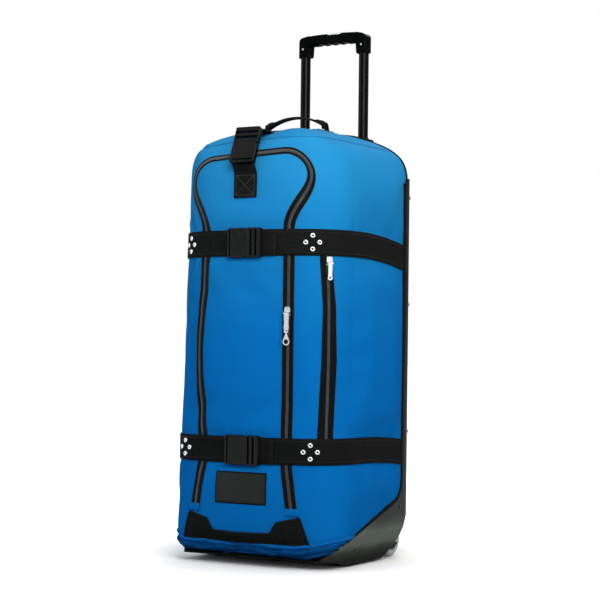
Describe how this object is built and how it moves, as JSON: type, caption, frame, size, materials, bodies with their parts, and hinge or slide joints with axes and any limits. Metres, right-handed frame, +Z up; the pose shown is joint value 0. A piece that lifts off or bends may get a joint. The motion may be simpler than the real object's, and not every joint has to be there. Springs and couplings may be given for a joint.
{
  "type": "rolling duffel bag",
  "caption": "Upright rolling duffel bag: zipped soft body with buckled compression straps, moulded kick tray with inline wheels, and a telescopic pull handle with a release button.",
  "frame": {"origin": "on the floor under the middle of the bag, on the middle skid of the kick tray", "axes": "+Z up along the pull handle, -Y out of the front with the main zip, +X to the viewer's right, the side with the pocket zip"},
  "size_m": [0.3746, 0.3848, 1.0868],
  "materials": {
    "blue_cloth": "woven nylon, slight sheen",
    "zip_tape": "woven tape with a nylon coil",
    "bright_metal": "polished die casting",
    "webbing": "ribbed webbing",
    "buckle_plastic": "satin moulding",
    "rivet_metal": "plated, domed",
    "handle_rubber": "soft grip",
    "moulded_plastic": "matte moulding",
    "label_cloth": "smooth woven patch",
    "tray_plastic": "fine grained moulding",
    "axle_steel": "zinc plated",
    "hub_plastic": "glass filled nylon",
    "wheel_urethane": "cast urethane",
    "black_tube": "gloss black",
    "grip_plastic": "satin moulding",
    "button_plastic": "light grey"
  },
  "bodies": {
    "bag": {"front_panel": "blue_cloth", "front_flap": "blue_cloth", "left_side_panel": "blue_cloth", "right_side_panel": "blue_cloth", "top_panel": "blue_cloth", "base_panel": "blue_cloth", "back_panel": "blue_cloth", "main_zip": "zip_tape", "side_zip": "zip_tape", "upper_strap_left": "webbing", "upper_strap_right": "webbing", "lower_strap_left": "webbing", "lower_strap_right": "webbing", "top_strap_front": "webbing", "top_strap_back": "webbing", "foot_handle": "webbing", "upper_buckle_socket": "buckle_plastic", "upper_buckle_tongue": "buckle_plastic", "lower_buckle_socket": "buckle_plastic", "lower_buckle_tongue": "buckle_plastic", "top_buckle_socket": "buckle_plastic", "top_buckle_tongue": "buckle_plastic", "strap_rivets": "rivet_metal", "tray_rivets": "rivet_metal", "top_handle_anchor_left": "moulded_plastic", "top_handle_anchor_right": "moulded_plastic", "wheel_fork_left": "moulded_plastic", "wheel_fork_right": "moulded_plastic", "tube_foot": "moulded_plastic", "handle_bezel": "moulded_plastic", "label_patch": "label_cloth", "kick_tray": "tray_plastic", "axle_bolt_left": "axle_steel", "axle_bolt_right": "axle_steel", "fixed_tube_left": "black_tube", "fixed_tube_right": "black_tube"},
    "trolley": {"sliding_tube_left": "black_tube", "sliding_tube_right": "black_tube", "grip_bracket_left": "grip_plastic", "grip_bracket_right": "grip_plastic", "grip_bar": "grip_plastic", "grip_screws": "rivet_metal"},
    "button": {"release_button": "button_plastic"},
    "wheel_left": {"wheel_hub_left": "hub_plastic", "tyre_left": "wheel_urethane"},
    "wheel_right": {"wheel_hub_right": "hub_plastic", "tyre_right": "wheel_urethane"},
    "main_slider": {"main_slider": "bright_metal"},
    "main_pull": {"main_pull": "bright_metal"},
    "main_pull_ring": {"main_pull_ring": "bright_metal"},
    "side_slider": {"side_slider": "bright_metal"},
    "side_pull": {"side_pull": "bright_metal"},
    "top_handle": {"top_handle": "handle_rubber"}
  },
  "joints": [
    {"name": "trolley_slide", "type": "slide", "parent": "bag", "child": "trolley", "axis": [0, 0, 1], "range_m": [-0.17, 0]},
    {"name": "button_press", "type": "slide", "parent": "trolley", "child": "button", "axis": [0, 0, 1], "range_m": [-0.004, 0], "stiffness_N_per_m": 500, "springref_m": 0.004},
    {"name": "wheel_left_spin", "type": "hinge", "parent": "bag", "child": "wheel_left", "pos_m": [-0.144, 0.142, 0.036], "axis": [1, 0, 0], "continuous": true},
    {"name": "wheel_right_spin", "type": "hinge", "parent": "bag", "child": "wheel_right", "pos_m": [0.144, 0.142, 0.036], "axis": [1, 0, 0], "continuous": true},
    {"name": "main_slider_travel", "type": "slide", "parent": "bag", "child": "main_slider", "axis": [0, 0, 1], "range_m": [-0.155, 0.08]},
    {"name": "main_pull_swing", "type": "hinge", "parent": "main_slider", "child": "main_pull", "pos_m": [0.09636, -0.18599, 0.4885], "axis": [-0.9855, -0.1696, 0], "range_deg": [0, 100]},
    {"name": "main_pull_ring_swing", "type": "hinge", "parent": "main_pull", "child": "main_pull_ring", "pos_m": [0.09636, -0.18599, 0.4535], "axis": [-0.9855, -0.1696, 0], "range_deg": [0, 75]},
    {"name": "side_slider_travel", "type": "slide", "parent": "bag", "child": "side_slider", "axis": [0, 0, 1], "range_m": [-0.27, 0]},
    {"name": "side_pull_swing", "type": "hinge", "parent": "side_slider", "child": "side_pull", "pos_m": [0.16755, -0.14495, 0.5855], "axis": [-0.6157, -0.788, 0], "range_deg": [0, 100]},
    {"name": "top_handle_fold", "type": "hinge", "parent": "bag", "child": "top_handle", "pos_m": [0, 0, 0.86865], "axis": [1, 0, 0], "range_deg": [-50, 50]}
  ]
}
